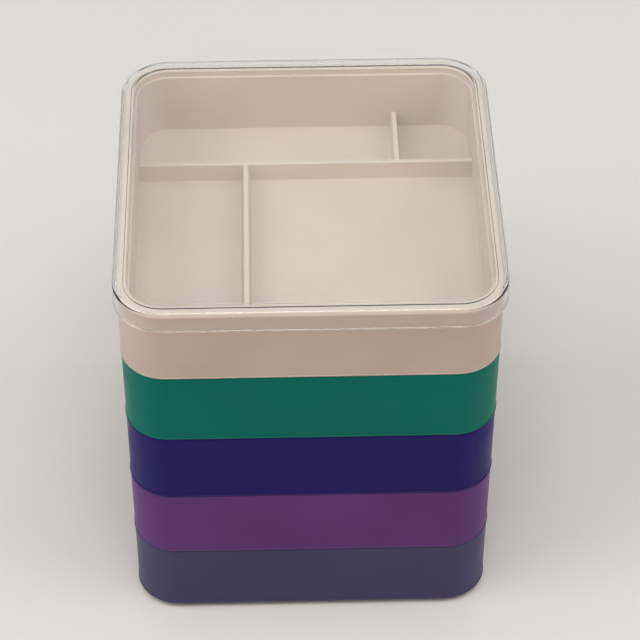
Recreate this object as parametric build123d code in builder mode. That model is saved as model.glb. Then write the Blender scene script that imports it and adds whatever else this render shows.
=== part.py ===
from build123d import *
from math import radians, tan
import os

# Five equal square trays stacked on each other, closed by one clear lid.
# Sizes are in millimetres and angles in degrees. +Z is up, +X is to the right, +Y is to the back.
# The origin is the middle of the stack, on the surface that it stands on.
# An inset is a distance inwards from the outside of a tray, so a negative one lies outside it.

# Outside of a tray
tray_width = 150.0
tray_depth = 150.0
tray_height = 34.7
corner_radius = 18.0
bead_height = 0.6
bead_reach = 0.3
tray_labels = ["bottom_tray", "second_tray", "third_tray", "fourth_tray", "top_tray"]

# Rim, walls and floor of a tray
rim_width = 4.0
rim_thickness = 4.2
recess_depth = 2.9
ledge_width = 1.0
tub_depth = 31.2
skirt_wall = 1.6
tub_wall = 1.6
floor_thickness = 2.0

# Foot ring, which stands on the ledge of the tray below
foot_wall = 1.8
foot_clearance = 0.3
joint_gap = 0.3

# Compartments, measured from an inner wall to the middle of a divider
back_row_depth = 32.0
front_left_width = 44.9
back_right_width = 31.4

# Dividers, which are moulded in one with the tray
divider_height = 8.0
divider_thickness = 2.0
divider_draft = 7.0

# Lid: a panel that lies on the rim, a raised ring around it and a skirt outside the tray.
# Between two hard flat faces that lie on each other there stays a hair of air.
lid_wall = 1.25
lid_clearance = 0.3
lid_ring_rise = 0.85
lid_seat_inset = 2.55
lid_skirt_depth = 7.7
lid_air_gap = 0.02
lid_bead_height = 0.9
lid_bead_reach = 0.25

# Roundings
rim_outer_round = 1.3
rim_inner_round = 0.5
bead_top_round = 0.25
bead_bottom_round = 0.1
ledge_round = 0.2
floor_round = 0.4
divider_round = 0.3
lid_outer_round = 1.5
lid_inner_round = 0.5
lid_step_round = 0.3
lid_bead_round = 0.2

# Faces closer together than this lie at the same height
same_height = 0.001

# Heights and insets that follow from the sizes above
tray_pitch = tray_height + joint_gap
foot_drop = recess_depth + joint_gap
foot_inset = rim_width + foot_clearance
tub_inset = rim_width + ledge_width
tub_half_width = tray_width / 2 - tub_inset
tub_half_depth = tray_depth / 2 - tub_inset
draft_reach = divider_height * tan(radians(divider_draft))


def rounded_block(inset, bottom, top, mode=Mode.ADD):
    """Add or cut an upright block that follows the tray's outline at an inset."""
    with BuildSketch(Plane.XY.offset(bottom)) as outline:
        RectangleRounded(tray_width - 2 * inset, tray_depth - 2 * inset, corner_radius - inset)
    extrude(outline.sketch, amount=top - bottom, mode=mode)


def flat_faces(part, height):
    """Faces of a part that lie flat at a height."""
    level_faces = part.faces().filter_by(Axis.Z)
    return level_faces.filter_by_position(Axis.Z, height - same_height, height + same_height)


def divider(middle, length_x, length_y, floor):
    """Add a low wall on the tub's floor, wider at its foot than the size given for its top."""
    with BuildSketch(Plane.XY.offset(floor)) as footprint:
        with Locations(middle):
            Rectangle(length_x + 2 * draft_reach, length_y + 2 * draft_reach)
    extrude(footprint.sketch, amount=divider_height, taper=divider_draft)


def add_dividers(floor):
    """Add the three dividers: one across the tub and one to the wall on each side of it."""
    cross_y = tub_half_depth - back_row_depth
    front_x = front_left_width - tub_half_width
    back_x = tub_half_width - back_right_width
    # Each end lies inside the wall that it joins, at its top and at its foot
    wall_reach = (tub_wall - draft_reach) / 2
    wall_y = tub_half_depth + wall_reach
    divider((0, cross_y), 2 * (tub_half_width + wall_reach), divider_thickness, floor)
    divider((front_x, (cross_y - wall_y) / 2), divider_thickness, cross_y + wall_y, floor)
    divider((back_x, (cross_y + wall_y) / 2), divider_thickness, wall_y - cross_y, floor)


def round_dividers(tray, floor):
    """Round the dividers along their tops, then every edge of the compartments' floors."""
    crests = flat_faces(tray, floor + divider_height).edges()
    fillet(crests.filter_by(lambda edge: edge.length > 2 * divider_thickness), divider_round)
    fillet(flat_faces(tray, floor).edges(), floor_round)


def build_tray(label, level):
    """Make one tray at its level of the stack and write it."""
    bottom = foot_drop + level * tray_pitch
    rim = bottom + tray_height
    ledge = rim - recess_depth
    floor = rim - tub_depth
    underside = floor - floor_thickness
    with BuildPart() as tray:
        # Rim and skirt, open at the bottom, with a fine bead around the bottom edge
        rounded_block(0, bottom, rim)
        fillet(flat_faces(tray, rim).edges(), rim_outer_round)
        rounded_block(-bead_reach, bottom, bottom + bead_height)
        fillet(flat_faces(tray, bottom).edges(), bead_bottom_round)
        fillet(flat_faces(tray, bottom + bead_height)[0].outer_wire().edges(), bead_top_round)
        rounded_block(skirt_wall, bottom, rim - rim_thickness, mode=Mode.SUBTRACT)

        # Tub inside the skirt, and the foot ring below it
        rounded_block(tub_inset - tub_wall, underside, ledge)
        rounded_block(foot_inset, bottom - foot_drop, underside)
        rounded_block(foot_inset + foot_wall, bottom - foot_drop, underside, mode=Mode.SUBTRACT)

        # Recess in the rim, then the tub's hollow with a narrow ledge around it
        rounded_block(rim_width, ledge, rim, mode=Mode.SUBTRACT)
        fillet(flat_faces(tray, rim)[0].inner_wires().edges(), rim_inner_round)
        rounded_block(tub_inset, floor, ledge, mode=Mode.SUBTRACT)
        fillet(flat_faces(tray, ledge)[0].inner_wires().edges(), ledge_round)

        add_dividers(floor)
        round_dividers(tray, floor)
    tray.part.label = label
    export_step(tray.part, f"parts/{label}.step")


def build_lid():
    """Make the lid where it lies on the top tray's rim and write it."""
    rim = foot_drop + (len(tray_labels) - 1) * tray_pitch + tray_height
    panel_bottom = rim + lid_air_gap
    panel_top = panel_bottom + lid_wall
    ring_bottom = panel_bottom + lid_ring_rise
    ring_top = ring_bottom + lid_wall
    skirt_bottom = rim - lid_skirt_depth
    outer_inset = -(lid_clearance + lid_wall)
    with BuildPart() as clear_lid:
        # Cap with a flat top
        rounded_block(outer_inset, skirt_bottom, ring_top)
        fillet(flat_faces(clear_lid, ring_top).edges(), lid_outer_round)
        bead_top = skirt_bottom + lid_bead_height
        rounded_block(outer_inset - lid_bead_reach, skirt_bottom, bead_top)
        fillet(flat_faces(clear_lid, skirt_bottom).edges(), lid_bead_round)
        fillet(flat_faces(clear_lid, bead_top)[0].outer_wire().edges(), lid_bead_round)
        rounded_block(-lid_clearance, skirt_bottom, ring_bottom, mode=Mode.SUBTRACT)
        fillet(flat_faces(clear_lid, ring_bottom).edges(), lid_inner_round)

        # Middle lowered by a step, so that the panel lies on the rim and the edge stays raised
        rounded_block(lid_seat_inset, panel_bottom, ring_bottom)
        rounded_block(lid_seat_inset + lid_wall, panel_top, ring_top, mode=Mode.SUBTRACT)
        fillet(flat_faces(clear_lid, ring_top)[0].inner_wires().edges(), lid_step_round)
        fillet(flat_faces(clear_lid, panel_bottom).edges(), lid_step_round)
    clear_lid.part.label = "clear_lid"
    export_step(clear_lid.part, "parts/clear_lid.step")


os.makedirs("parts", exist_ok=True)
for level, label in enumerate(tray_labels):
    build_tray(label, level)
build_lid()
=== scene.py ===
import math
import bpy
from mathutils import Matrix, Vector


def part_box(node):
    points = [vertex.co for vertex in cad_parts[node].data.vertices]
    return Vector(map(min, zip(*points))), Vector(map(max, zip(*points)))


# The looks of a stack of five square craft trays under a clear lid.
# Lengths are in metres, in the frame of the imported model: +Z up, +Y to the back.

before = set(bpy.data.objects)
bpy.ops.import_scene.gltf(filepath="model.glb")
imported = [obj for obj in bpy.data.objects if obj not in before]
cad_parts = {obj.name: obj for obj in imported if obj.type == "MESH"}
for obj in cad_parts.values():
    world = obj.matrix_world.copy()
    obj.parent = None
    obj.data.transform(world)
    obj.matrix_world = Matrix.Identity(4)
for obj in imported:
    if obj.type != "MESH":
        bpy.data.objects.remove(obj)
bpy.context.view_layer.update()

MM = 0.001
WHITE = (1.0, 1.0, 1.0)

# Camera: place, direction in degrees and lens in millimetres, as the photograph was taken
CAMERA_PLACE = Vector((-15.4, -710.3, 808.0)) * MM
CAMERA_YAW = 1.66
CAMERA_PITCH = -44.92
CAMERA_ROLL = 0.19
CAMERA_LENS = 132.6
CAMERA_SENSOR = 36.0

# Lamps: place, side of the square, power and colour. All face the middle of the stack.
# Each stands where the lid mirrors no hard edge of it to the camera or to a view from above.
LAMP_TARGET = (0.0, 0.0, 0.09)
LAMPS = {
    "lamp_top": ((0.0, -0.6, 1.65), 0.75, 9.6, (0.98, 1.0, 1.0)),
    "lamp_back": ((0.0, 1.6, 1.7), 2.2, 9.0, (0.90, 1.0, 0.98)),
    "lamp_front": ((0.0, -2.0, 1.2), 2.0, 6.6, (1.0, 0.64, 0.44)),
    "lamp_left": ((-1.5, -0.4, 1.25), 1.5, 22.0, WHITE),
    "lamp_right": ((1.5, -0.4, 1.25), 1.5, 16.0, WHITE),
}

# Strength of the world as light, and as the background that is seen
WORLD_STRENGTH = 0.34
BACKGROUND_STRENGTH = 0.62

# Floor: the colour that throws light back onto the stack, the paler one that is seen, and
# how strongly the far floor is lightened from a distance on
FLOOR_SIZE = 6.0
FLOOR_COLOR = (0.27, 0.17, 0.16)
FLOOR_PALE_COLOR = (0.64, 0.61, 0.58)
FLOOR_CLOUD_SIZE = 400 * MM
FLOOR_CLOUD_CONTRAST = 0.02
FLOOR_ROUGHNESS = 0.7
FLOOR_SPECULAR = 0.2
FAR_FLOOR_START = 0.6
FAR_FLOOR_STRENGTH = 0.37

# Base colours of the trays, from the bottom of the stack up
TRAY_COLORS = {
    "bottom_tray": (0.067, 0.066, 0.142),
    "second_tray": (0.120, 0.046, 0.192),
    "third_tray": (0.019, 0.013, 0.125),
    "fourth_tray": (0.002, 0.162, 0.123),
    "top_tray": (0.578, 0.494, 0.424),
}

# Moulded plastic: flow marks in the colour, patches of gloss, waves of the walls and fine grain
PLASTIC_IOR = 1.5
TRAY_SPECULAR = 0.07
FLOW_SIZE = 45 * MM
FLOW_CONTRAST = 0.06
GLOSS_SIZE = 12 * MM
GLOSS_ROUGHNESS = (0.30, 0.42)
WAVE_SIZE = 30 * MM
WAVE_HEIGHT = 0.15 * MM
GRAIN_SIZE = 0.5 * MM
GRAIN_HEIGHT = 0.01 * MM

# Painted light on a tray: its dividers' level tops are paler, partly from rubbing and partly a
# painted highlight, and its bottom edge is darker and greyer as painted shade where it sits on
# the tray below.
# Both are found by their height in the tray, and are stronger in some patches than in others.
CREST_HIGHLIGHT_AND_RUB_COLOR = (0.75, 0.73, 0.70)
CREST_HIGHLIGHT_AND_RUB_SHARE = 0.16
JOINT_SHADE_FACTOR = 0.68
JOINT_SHADE_GREY = 0.012
EDGE_ABOVE_FOOT = 3.2 * MM
EDGE_HEIGHT = 0.6 * MM
CREST_BELOW_RIM = 23.2 * MM
CREST_NORMAL = (0.6, 0.9)
HEIGHT_BLUR = 0.05 * MM
PATCH_SIZE = 9 * MM
PATCH_LEAST = 0.6

# Clear plastic: its colour, the share of light that it lets through to what lies under it,
# smears in its polish and slight waves
LID_COLOR = (0.97, 0.97, 0.965)
LID_LIGHT_SHARE = (0.96, 0.96, 0.957)
SMEAR_SIZE = 25 * MM
SMEAR_ROUGHNESS = (0.01, 0.05)
LID_WAVE_SIZE = 40 * MM
LID_WAVE_HEIGHT = 0.004 * MM

# Wear of the lid: its bottom bead and the top of its raised ring are scuffed
LID_BEAD_HEIGHT = 0.9 * MM
LID_BEAD_ROUGHNESS = 0.18
LID_RING_HEIGHT = 0.75 * MM
LID_RING_ROUGHNESS = 0.12

# Most of what a Noise node gives lies in this range
NOISE_RANGE = (0.3, 0.7)

# Sockets of a Mix node that mixes colours
MIX_SHARE, MIX_FIRST, MIX_SECOND, MIX_RESULT = 0, 6, 7, 2


class Nodes:
    """A material's node tree, with short calls to add and join nodes."""

    def __init__(self, name):
        self.material = bpy.data.materials.new(name)
        self.material.use_nodes = True
        self.tree = self.material.node_tree
        self.tree.nodes.clear()
        self.output = self.add("ShaderNodeOutputMaterial")

    def add(self, kind, **inputs):
        """A new node, with values for the inputs that are named."""
        node = self.tree.nodes.new(kind)
        for name, value in inputs.items():
            node.inputs[name.replace("_", " ")].default_value = value
        return node

    def join(self, source, target):
        """A link from an output to an input."""
        self.tree.links.new(source, target)

    def place(self):
        """Coordinates on the piece, which stay with it when it moves."""
        return self.add("ShaderNodeTexCoord").outputs["Object"]

    def rays(self):
        """What kind of ray meets the surface."""
        return self.add("ShaderNodeLightPath").outputs

    def noise(self, coordinates, size, detail=2.0):
        """Noise with features of a size in metres."""
        node = self.add("ShaderNodeTexNoise", Scale=1 / size, Detail=detail)
        self.join(coordinates, node.inputs["Vector"])
        return node.outputs["Fac"]

    def ranged(self, value, low, high, from_low, from_high):
        """A value spread from one range onto another."""
        node = self.add("ShaderNodeMapRange", From_Min=from_low, From_Max=from_high,
                        To_Min=low, To_Max=high)
        self.join(value, node.inputs["Value"])
        return node.outputs["Result"]

    def spread(self, noise, low, high):
        """Noise spread from where most of it lies onto a range."""
        return self.ranged(noise, low, high, *NOISE_RANGE)

    def mixed(self, share, first, second):
        """Two colours mixed by a share from 0 to 1."""
        node = self.add("ShaderNodeMix")
        node.data_type = "RGBA"
        for index, value in ((MIX_FIRST, first), (MIX_SECOND, second)):
            if isinstance(value, tuple):
                node.inputs[index].default_value = (*value, 1.0)
            else:
                self.join(value, node.inputs[index])
        self.join(share, node.inputs[MIX_SHARE])
        return node.outputs[MIX_RESULT]

    def calculated(self, operation, first, second):
        """Two values put together by a Math node."""
        node = self.add("ShaderNodeMath")
        node.operation = operation
        self.join(first, node.inputs[0])
        self.join(second, node.inputs[1])
        return node.outputs[0]

    def larger(self, first, second):
        """The larger of two values."""
        return self.calculated("MAXIMUM", first, second)

    def product(self, first, second):
        """Two values multiplied."""
        return self.calculated("MULTIPLY", first, second)

    def part_z(self, vector):
        """The third part of a vector."""
        node = self.add("ShaderNodeSeparateXYZ")
        self.join(vector, node.inputs[0])
        return node.outputs["Z"]

    def window(self, height, low, high, inside=1.0):
        """A value inside a window of heights, 0 outside it."""
        above = self.ranged(height, 0.0, 1.0, low - HEIGHT_BLUR, low)
        below = self.ranged(height, inside, 0.0, high, high + HEIGHT_BLUR)
        return self.product(above, below)

    def bump(self, height, distance, normal=None):
        """A normal raised by a height from 0 to 1, over a distance in metres."""
        node = self.add("ShaderNodeBump", Distance=distance)
        self.join(height, node.inputs["Height"])
        if normal is not None:
            self.join(normal, node.inputs["Normal"])
        return node.outputs["Normal"]

    def finished(self, shader):
        """The material, with a shader's first output as its surface."""
        self.join(shader.outputs[0], self.output.inputs["Surface"])
        return self.material


def heights(node):
    """Lowest and highest point of a CAD node at rest."""
    return (corner[2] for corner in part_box(node))


def scaled(color, factor):
    """A colour made lighter or darker."""
    return tuple(channel * factor for channel in color)


def crest_highlight_and_rub(color):
    """A tray's colour on the tops of its dividers: paler, partly from rubbing and partly a
    painted highlight.
    """
    return tuple(own + CREST_HIGHLIGHT_AND_RUB_SHARE * (pale - own) for own, pale in zip(color, CREST_HIGHLIGHT_AND_RUB_COLOR))


def joint_shaded_color(color):
    """A tray's colour along its bottom edge, darkened and greyed as painted shade in the joint
    with the tray below.
    """
    return tuple(own * JOINT_SHADE_FACTOR + JOINT_SHADE_GREY for own in color)


def tray_plastic(tray, color):
    """Moulded plastic of a tray, with painted shade on its bottom edge and paler divider tops
    that are partly rubbing and partly painted highlight.
    """
    n = Nodes(f"{tray}_plastic")
    place = n.place()
    shader = n.add("ShaderNodeBsdfPrincipled", IOR=PLASTIC_IOR, Specular_IOR_Level=TRAY_SPECULAR)

    flow = n.spread(n.noise(place, FLOW_SIZE, detail=3.0), 0.0, 1.0)
    cloud = n.mixed(flow, scaled(color, 1 - FLOW_CONTRAST), scaled(color, 1 + FLOW_CONTRAST))

    height = n.part_z(place)
    foot, rim = heights(tray)
    edge_bottom = foot + EDGE_ABOVE_FOOT
    crest_top = rim - CREST_BELOW_RIM
    joint_shade_mask = n.window(height, edge_bottom, edge_bottom + EDGE_HEIGHT)
    crest = n.window(height, crest_top - EDGE_HEIGHT, crest_top)
    upward = n.part_z(n.add("ShaderNodeNewGeometry").outputs["Normal"])
    level = n.ranged(upward, 0.0, 1.0, *CREST_NORMAL)
    patches = n.spread(n.noise(place, PATCH_SIZE, detail=3.0), PATCH_LEAST, 1.0)
    # Painted shade: the bottom edge is darkened and greyed where it sits on the tray below
    joint_shaded = n.mixed(n.product(joint_shade_mask, patches), cloud, joint_shaded_color(color))
    # Painted highlight, partly rubbing: the level tops of the dividers are made paler
    crest_highlight_and_rub_share = n.product(n.product(crest, level), patches)
    n.join(n.mixed(crest_highlight_and_rub_share, joint_shaded, crest_highlight_and_rub(color)), shader.inputs["Base Color"])

    gloss = n.noise(place, GLOSS_SIZE, detail=4.0)
    n.join(n.spread(gloss, *GLOSS_ROUGHNESS), shader.inputs["Roughness"])

    waves = n.bump(n.noise(place, WAVE_SIZE, detail=1.0), WAVE_HEIGHT)
    grain = n.bump(n.noise(place, GRAIN_SIZE), GRAIN_HEIGHT, normal=waves)
    n.join(grain, shader.inputs["Normal"])
    return n.finished(shader)


def clear_plastic():
    """Polished clear plastic of the lid, which lets the lamps reach what lies under it."""
    n = Nodes("lid_plastic")
    place = n.place()
    shader = n.add("ShaderNodeBsdfPrincipled", IOR=PLASTIC_IOR, Transmission_Weight=1.0,
                   Base_Color=(*LID_COLOR, 1.0))

    smear = n.spread(n.noise(place, SMEAR_SIZE, detail=4.0), *SMEAR_ROUGHNESS)
    height = n.part_z(place)
    foot, top = heights("clear_lid")
    bead = n.window(height, foot, foot + LID_BEAD_HEIGHT, LID_BEAD_ROUGHNESS)
    ring = n.window(height, top - LID_RING_HEIGHT, top, LID_RING_ROUGHNESS)
    n.join(n.larger(smear, n.larger(bead, ring)), shader.inputs["Roughness"])

    waves = n.noise(place, LID_WAVE_SIZE, detail=1.0)
    n.join(n.bump(waves, LID_WAVE_HEIGHT), shader.inputs["Normal"])

    through = n.add("ShaderNodeBsdfTransparent", Color=(*LID_LIGHT_SHARE, 1.0))
    rays = n.rays()
    mix = n.add("ShaderNodeMixShader")
    n.join(n.larger(rays["Is Shadow Ray"], rays["Is Diffuse Ray"]), mix.inputs[0])
    n.join(shader.outputs["BSDF"], mix.inputs[1])
    n.join(through.outputs["BSDF"], mix.inputs[2])
    return n.finished(mix)


def floor_surface():
    """Plain matt floor, shown paler to the camera and in what mirrors or lies behind glass."""
    n = Nodes("floor_matt")
    place = n.place()
    shader = n.add("ShaderNodeBsdfPrincipled", Roughness=FLOOR_ROUGHNESS,
                   Specular_IOR_Level=FLOOR_SPECULAR, Emission_Color=(*WHITE, 1.0))
    cloud = n.spread(n.noise(place, FLOOR_CLOUD_SIZE, detail=3.0), 0.0, 1.0)
    dark, light = 1 - FLOOR_CLOUD_CONTRAST, 1 + FLOOR_CLOUD_CONTRAST
    plain, pale = (n.mixed(cloud, scaled(color, dark), scaled(color, light))
                   for color in (FLOOR_COLOR, FLOOR_PALE_COLOR))
    rays = n.rays()
    seen = n.larger(n.larger(rays["Is Camera Ray"], rays["Is Glossy Ray"]),
                    rays["Is Transmission Ray"])
    n.join(n.mixed(seen, plain, pale), shader.inputs["Base Color"])

    # The lamps don't reach far, so the far floor is lightened to the colour of the background
    distance = n.add("ShaderNodeVectorMath")
    distance.operation = "LENGTH"
    n.join(place, distance.inputs[0])
    lightened = n.ranged(distance.outputs["Value"], 0.0, FAR_FLOOR_STRENGTH,
                         FAR_FLOOR_START, FLOOR_SIZE / 2)
    n.join(n.product(seen, lightened), shader.inputs["Emission Strength"])
    return n.finished(shader)


def dress(node, material):
    """Give a CAD node its material."""
    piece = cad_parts[node]
    piece.data.materials.clear()
    piece.data.materials.append(material)


def place_camera():
    """Stand the camera where the photograph was taken from."""
    yaw, pitch, roll = map(math.radians, (CAMERA_YAW, CAMERA_PITCH, CAMERA_ROLL))
    ahead = Vector((math.sin(yaw), math.cos(yaw), 0.0))
    forward = math.cos(pitch) * ahead + Vector((0.0, 0.0, math.sin(pitch)))
    level = Vector((math.cos(yaw), -math.sin(yaw), 0.0))
    rise = level.cross(forward)
    right = math.cos(roll) * level + math.sin(roll) * rise
    up = math.cos(roll) * rise - math.sin(roll) * level
    data = bpy.data.cameras.new("camera")
    data.sensor_width = CAMERA_SENSOR
    data.lens = CAMERA_LENS
    camera = bpy.data.objects.new("camera", data)
    bpy.context.scene.collection.objects.link(camera)
    turn = Matrix((right, up, -forward)).transposed()
    camera.matrix_world = Matrix.Translation(CAMERA_PLACE) @ turn.to_4x4()
    bpy.context.scene.camera = camera


def add_floor():
    """Lay the floor that the stack stands on."""
    bpy.ops.mesh.primitive_plane_add(size=FLOOR_SIZE)
    floor = bpy.context.object
    floor.name = "floor"
    floor.data.materials.append(floor_surface())


def add_lamp(name, place, size, power, color):
    """Hang up a square soft box that faces the stack."""
    data = bpy.data.lights.new(name, "AREA")
    data.shape = "SQUARE"
    data.size = size
    data.energy = power
    data.color = color
    lamp = bpy.data.objects.new(name, data)
    bpy.context.scene.collection.objects.link(lamp)
    lamp.location = place
    facing = Vector(LAMP_TARGET) - Vector(place)
    lamp.rotation_euler = facing.to_track_quat("-Z", "Y").to_euler()


def add_world():
    """Plain surrounding light, which is paler where the background itself is seen."""
    world = bpy.data.worlds.new("studio")
    bpy.context.scene.world = world
    world.use_nodes = True
    nodes, links = world.node_tree.nodes, world.node_tree.links
    background = nodes["Background"]
    background.inputs["Color"].default_value = (*WHITE, 1.0)
    rays = nodes.new("ShaderNodeLightPath").outputs
    seen = nodes.new("ShaderNodeMath")
    seen.operation = "MAXIMUM"
    links.new(rays["Is Camera Ray"], seen.inputs[0])
    links.new(rays["Is Transmission Ray"], seen.inputs[1])
    strength = nodes.new("ShaderNodeMapRange")
    strength.inputs["To Min"].default_value = WORLD_STRENGTH
    strength.inputs["To Max"].default_value = BACKGROUND_STRENGTH
    links.new(seen.outputs[0], strength.inputs["Value"])
    links.new(strength.outputs["Result"], background.inputs["Strength"])


bpy.context.scene.view_settings.view_transform = "Standard"
for tray, color in TRAY_COLORS.items():
    dress(tray, tray_plastic(tray, color))
dress("clear_lid", clear_plastic())
place_camera()
add_floor()
for name, lamp in LAMPS.items():
    add_lamp(name, *lamp)
add_world()
